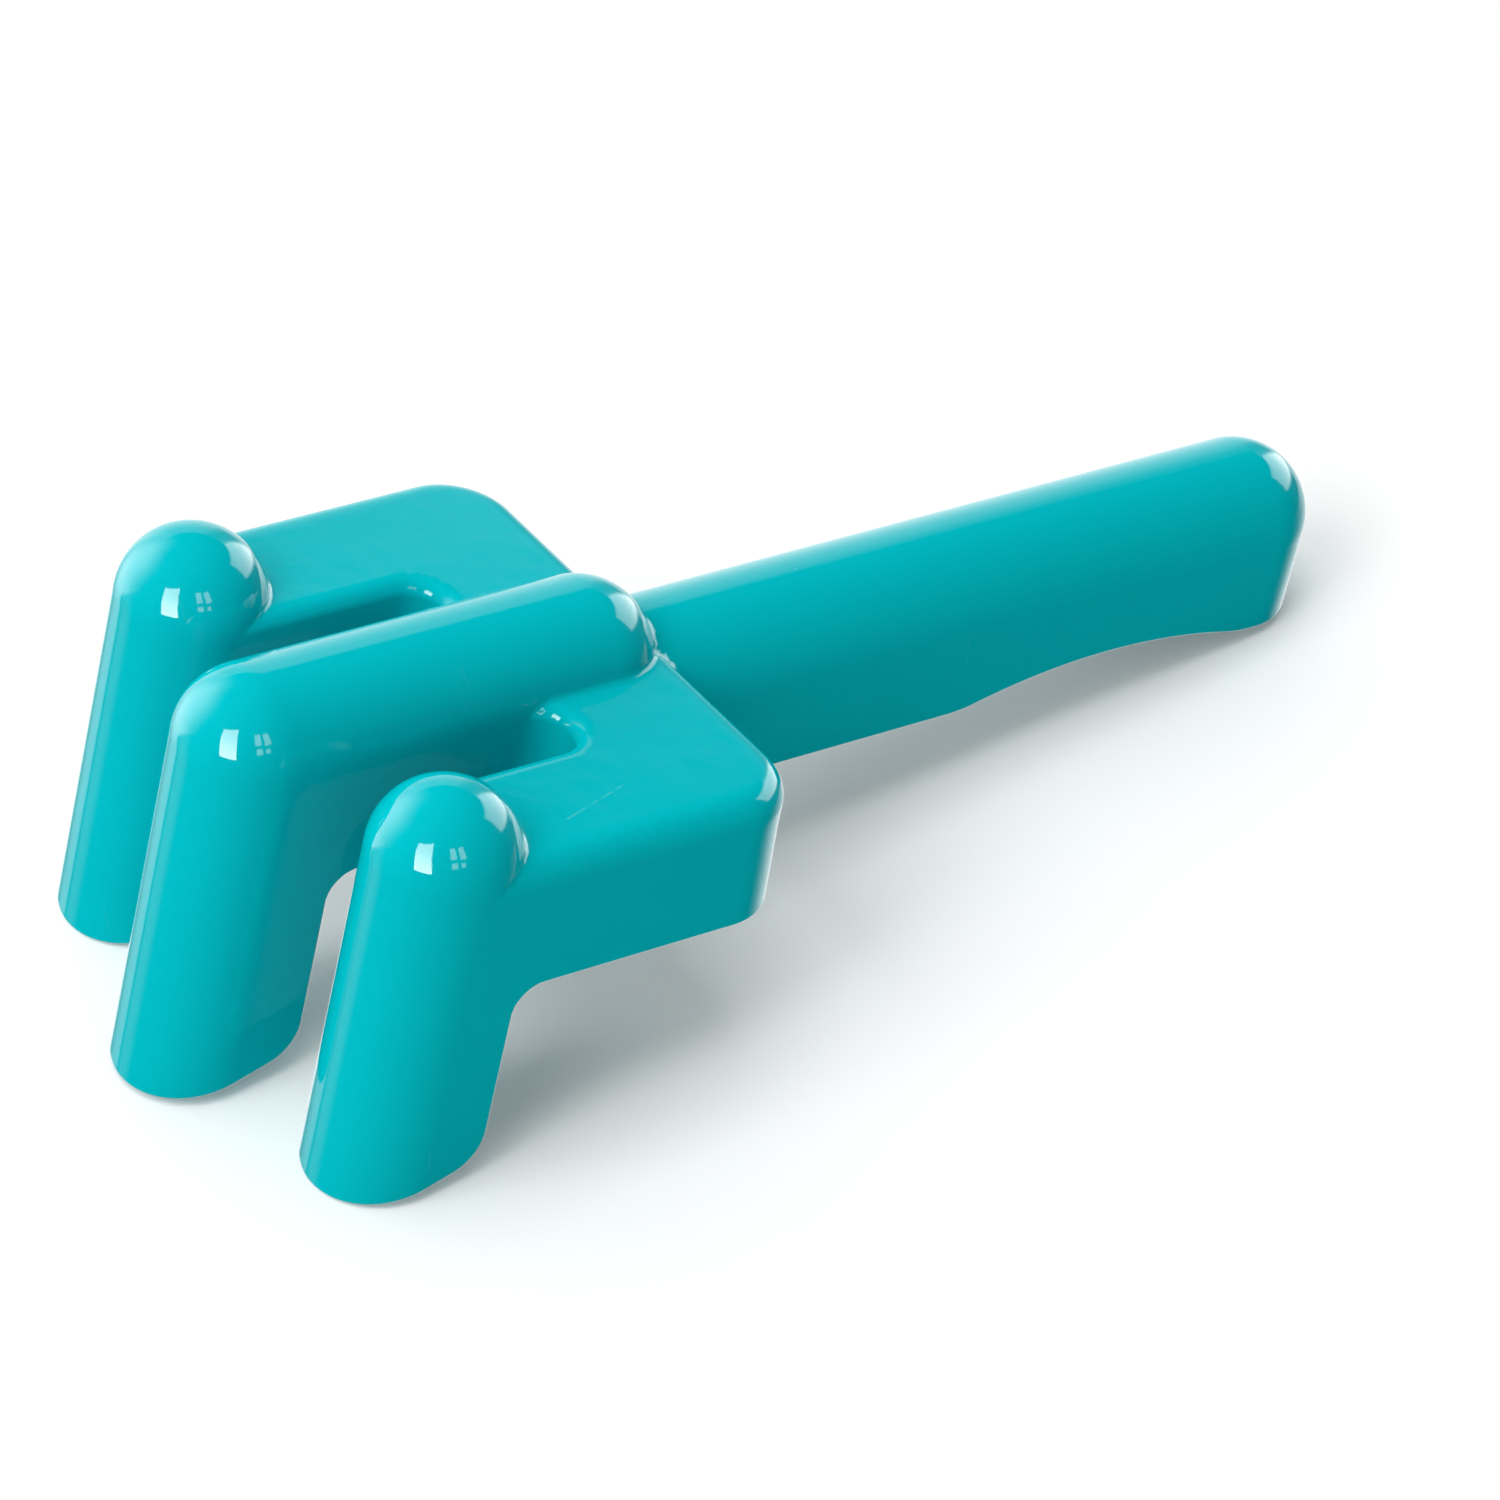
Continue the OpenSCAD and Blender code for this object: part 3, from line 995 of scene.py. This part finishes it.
# %% [markdown]
# ## The room in the gloss
# The gloss shows the room as clearly as a mirror does, and the three domes show nearly all of
# it. There is a large soft screen on the rake's left, a second one behind it, and the white
# background between and below them. The camera's side is dim, except for two windows. All are
# drawn as patches of the world's light, by the direction in which they are seen.

# %% Directions in the room
behind_left = 150
camera_side = -45
world = bpy.data.worlds.new("studio")
bpy.context.scene.world = world
world.use_nodes = True
room = world.node_tree
room.nodes.clear()
look_way = add_node(room, "ShaderNodeTexCoord").outputs["Generated"]


def aside_and_up(azimuth):
    """How many degrees a direction lies aside from an azimuth, and how far it points up."""
    turned = add_node(room, "ShaderNodeVectorRotate",
                      {"Vector": look_way, "Angle": -math.radians(azimuth)},
                      rotation_type="Z_AXIS")
    ahead, leftwards, upwards = add_node(room, "ShaderNodeSeparateXYZ",
                                         {0: turned.outputs[0]}).outputs
    return maths(room, "DEGREES", maths(room, "ARCTAN2", leftwards, ahead)), upwards


aside, upwards = aside_and_up(behind_left)
height = maths(room, "DEGREES", maths(room, "ARCSINE", upwards))
front_azimuth = maths(room, "ADD", aside_and_up(camera_side)[0], camera_side)
print("room counted from azimuths", behind_left, "and", camera_side)


# %% Sums, products and soft bands of the room's light
def chain(operation, *values):
    total = values[0]
    for value in values[1:]:
        total = maths(room, operation, total, value)
    return total


def times(*values):
    return chain("MULTIPLY", *values)


def plus(*values):
    return chain("ADD", *values)


def less(share, mask):
    """A factor of 1 that drops by a share where the mask is full."""
    return maths(room, "MULTIPLY_ADD", mask, -share, 1.0)


def angle(azimuth):
    """An azimuth from +X towards +Y, as the angle aside from the direction behind left."""
    return azimuth - behind_left


def between(start, full, fading, end):
    """A band of azimuths with soft sides."""
    return times(ramp(room, aside, angle(start), angle(full)),
                 ramp(room, aside, angle(end), angle(fading)))


# %% [markdown]
# ## Left screen
# The large screen fills the gloss along the rake's left side. It is a wide soft light, so it
# fades out upwards, downwards and to both sides. The domes show that one lower corner is cut off
# along a slant, with a dim glow left in it.

# %% Left screen, with its cut lower corner
corner_azimuth = 208.0
corner_height = -21.0
corner_slant = 1.05
above_corner = maths(room, "MAXIMUM", maths(room, "SUBTRACT", height, corner_height), 0.0)
corner_edge = maths(room, "MULTIPLY_ADD", above_corner, corner_slant, angle(corner_azimuth))
inside_corner = ramp(room, maths(room, "SUBTRACT", aside, corner_edge), 4.0, -3.0)
left_screen = times(between(160, 196, 204, 244), ramp(room, height, 56.0, 22.0),
                    ramp(room, height, -50.0, -5.0), inside_corner)
dim_corner = times(between(210, 218, 226, 240), ramp(room, height, 5.0, -8.0))
print("left screen drawn, its corner cut at azimuth", corner_azimuth)

# %% [markdown]
# ## Patches with four straight sides
# The back screen and the windows have straight edges, and some of them lean. One helper draws
# them all: each side is a soft step across a line in azimuth and height. Azimuths are counted
# from the camera's side here, so that no patch lies where the count starts again.

# %% Four-sided patch
def past(value, side, along):
    """How far a value lies past a side: its angle, and how much that leans per degree along."""
    return maths(room, "MULTIPLY_ADD", along, -side[1], maths(room, "SUBTRACT", value, side[0]))


def patch(left, right, foot, top, soft):
    above_foot = maths(room, "SUBTRACT", height, foot[0])
    from_left = maths(room, "SUBTRACT", front_azimuth, left[0])
    return times(ramp(room, past(front_azimuth, left, above_foot), -soft, soft),
                 ramp(room, past(front_azimuth, right, above_foot), soft, -soft),
                 ramp(room, past(height, foot, from_left), -soft, soft),
                 ramp(room, past(height, top, from_left), soft, -soft))


# %% [markdown]
# ## Back screen and white background
# The screen behind the rake leans in at both sides and slants at its foot and its top. White
# background shows between and below the two screens, brighter towards its foot. A dark strip
# lies under the back screen, and a dark gap beside it.

# %% Back screen, background, and the dark parts between them
back_screen = patch(left=(74.0, 0.22), right=(116.5, -0.21), foot=(11.0, -0.6),
                    top=(37.0, -0.3), soft=2.5)
dark_strip = patch(left=(60.0, 0.0), right=(106.0, 0.0), foot=(-16.0, 0.0),
                   top=(19.0, -0.6), soft=3.0)
dark_gap = times(between(114, 123, 128, 138), ramp(room, height, -14.0, -3.0))
background_up = plus(ramp(room, height, 29.2, 25.4, 0.0, 0.8),
                     ramp(room, height, 22.0, -12.0, 0.0, 0.7))
background = times(between(62, 105, 166, 176), background_up, less(0.75, dark_gap),
                   less(0.9, dark_strip))
print("back screen and background drawn")

# %% [markdown]
# ## Two windows
# The two windows stand on the camera's side and give every dome its two glints. The tall one is
# brighter towards its foot. The other has four panes, with dark bars between them.

# %% Tall window, and the window with four panes
foot_level = 20.0
top_level = 11.0
tall_window = patch(left=(-75.5, -0.32), right=(-50.5, -0.16), foot=(7.5, 0.07),
                    top=(46.5, 0.30), soft=0.5)
tall_window = times(tall_window, ramp(room, height, 6.0, 46.0, foot_level, top_level))
pane_soft = 1.2
pane_edges = ((-23.0, -12.4, 31.0, 46.5), (-7.2, 3.4, 28.5, 44.5),
              (-22.0, -12.6, 17.0, 26.0), (-7.6, -1.2, 17.0, 23.5))
panes = plus(*(patch(*((edge, 0.0) for edge in edges), pane_soft) for edges in pane_edges))
print("windows drawn, the second with", len(pane_edges), "panes")

# %% [markdown]
# ## One world for three kinds of ray
# Cycles tells what kind of ray asks for the world's light. The gloss gets the drawn room, the
# body colour gets a plain soft light from the left and from behind, and the camera gets white,
# also through clear things. So the reflections could be matched to the photograph without
# changing how light the plastic itself is.

# %% World light for gloss, for the body colour and for the camera
whole_room = 0.8
screen_level = 3.9
pane_level = 4.6
corner_level = 0.5
dim_level = 0.01
body_left = 1.9
body_back = 0.75
in_gloss = plus(times(plus(left_screen, back_screen), screen_level), background,
                times(dim_corner, corner_level), tall_window, times(panes, pane_level),
                dim_level)
look_parts = add_node(room, "ShaderNodeSeparateXYZ", {0: look_way}).outputs
to_left = maths(room, "MAXIMUM", times(look_parts[0], -1.0), 0.0)
to_back = maths(room, "MAXIMUM", look_parts[1], 0.0)
on_body = plus(times(to_back, body_back), times(to_left, body_left))
path = add_node(room, "ShaderNodeLightPath").outputs
room_light = times(mixed(room, "FLOAT", path["Is Glossy Ray"], on_body, in_gloss), whole_room)
to_camera = maths(room, "MAXIMUM", path["Is Camera Ray"], path["Is Transmission Ray"])
backdrop = add_node(room, "ShaderNodeBackground", {
    "Color": (1.0, 1.0, 1.0, 1.0),
    "Strength": mixed(room, "FLOAT", to_camera, room_light, 1.0)})
add_node(room, "ShaderNodeOutputWorld", {"Surface": backdrop.outputs[0]})
print("world:", len(room.nodes), "nodes")

# %% [markdown]
# ## Soft lamps
# Three large soft lamps light the body colour: the tall window, one in front and one overhead.
# At their level the teal renders about as written. The gloss doesn't see them, because it has
# its own sharper picture of the room.

# %% Lamps for the body colour
lamp_distance = 1.6
rake_middle = Vector((0, -0.03, 0.04))


def soft_lamp(name, azimuth, elevation, width, tall, radiance):
    """A rectangular lamp seen from the rake in one direction, facing it."""
    around = math.radians(azimuth)
    up = math.radians(elevation)
    out = Vector((math.cos(up) * math.cos(around), math.cos(up) * math.sin(around), math.sin(up)))
    across = Vector((0, 0, 1)).cross(out).normalized()
    turn = Matrix((across, out.cross(across), out)).transposed()
    light = bpy.data.lights.new(name, "AREA")
    light.shape = "RECTANGLE"
    light.size = width
    light.size_y = tall
    light.energy = math.pi * width * tall * radiance
    holder = bpy.data.objects.new(name, light)
    holder.rotation_euler = turn.to_euler()
    holder.location = rake_middle + lamp_distance * out
    holder.visible_glossy = False
    bpy.context.scene.collection.objects.link(holder)
    print(name, "at azimuth", azimuth, "elevation", elevation, "level", radiance)


soft_lamp("window_light", azimuth=-68.5, elevation=29, width=0.75, tall=1.15, radiance=2.7)
soft_lamp("front_light", azimuth=-90, elevation=50, width=0.9, tall=0.9, radiance=4.3)
soft_lamp("ceiling_light", azimuth=-90, elevation=88, width=0.9, tall=0.9, radiance=3.4)

# %% [markdown]
# ## Floor
# The rake lies on a sheet of pale matt paper with a soft shadow. To the camera the paper is
# lifted a little, to the white of the photograph's background, and further out it turns plain
# white, so that no edge or horizon shows from any side. The photographed rake is held in the
# air with nothing pale below it, so the gloss looks past the paper at the room.

# %% Floor
floor_half = 6
paper_grey = 0.85
paper_lift = 0.14
plain_from = 0.25
plain_at = 0.55
floor_mesh = bpy.data.meshes.new("floor")
floor_mesh.from_pydata(
    [(-floor_half, -floor_half, 0), (floor_half, -floor_half, 0),
     (floor_half, floor_half, 0), (-floor_half, floor_half, 0)], [], [(0, 1, 2, 3)])
floor = bpy.data.objects.new("studio_floor", floor_mesh)
bpy.context.scene.collection.objects.link(floor)
floor.visible_glossy = False
paper = bpy.data.materials.new("white_paper")
paper.use_nodes = True
sheet = paper.node_tree
sheet.nodes.clear()
seen = add_node(sheet, "ShaderNodeLightPath").outputs["Is Camera Ray"]
spot = add_node(sheet, "ShaderNodeTexCoord").outputs["Object"]
far_away = ramp(sheet, vector_maths(sheet, "LENGTH", spot, origin), plain_from, plain_at)
matt = add_node(sheet, "ShaderNodeBsdfDiffuse",
                {"Color": (paper_grey, paper_grey, paper_grey, 1)})
lift = add_node(sheet, "ShaderNodeEmission",
                {"Strength": maths(sheet, "MULTIPLY", seen, paper_lift)})
lifted = add_node(sheet, "ShaderNodeAddShader", {0: matt.outputs[0], 1: lift.outputs[0]})
glow = add_node(sheet, "ShaderNodeEmission", {"Strength": 1.0})
paper_mix = add_node(sheet, "ShaderNodeMixShader", {
    0: maths(sheet, "MULTIPLY", far_away, seen), 1: lifted.outputs[0], 2: glow.outputs[0]})
add_node(sheet, "ShaderNodeOutputMaterial", {"Surface": paper_mix.outputs[0]})
floor_mesh.materials.append(paper)
print("paper on the floor, plain white beyond", plain_at, "m")

# %% [markdown]
# ## Camera
# The camera's place and lens were solved from the photograph: the rake's straight edges, its
# parallel sides and the round ends of its slots fix where the photograph was taken from.

# %% Camera
camera_place = (0.65970545, -0.52580551, 0.75907532)
camera_turn = [math.radians(degrees) for degrees in (48.42013, -3.07939, 53.96970)]
focal_l = 186.163
lens_data = bpy.data.cameras.new("portrait_camera")
lens_data.sensor_fit = "HORIZONTAL"
lens_data.sensor_width = 36
lens_data.lens = focal_l
lens_data.clip_start = 0.01
camera = bpy.data.objects.new("portrait_camera", lens_data)
camera.location = camera_place
camera.rotation_euler = camera_turn
bpy.context.scene.collection.objects.link(camera)
bpy.context.scene.camera = camera
bpy.context.scene.view_settings.view_transform = "Standard"
print("camera", round(Vector(camera_place).length, 3), "m away, lens", focal_l, "mm")
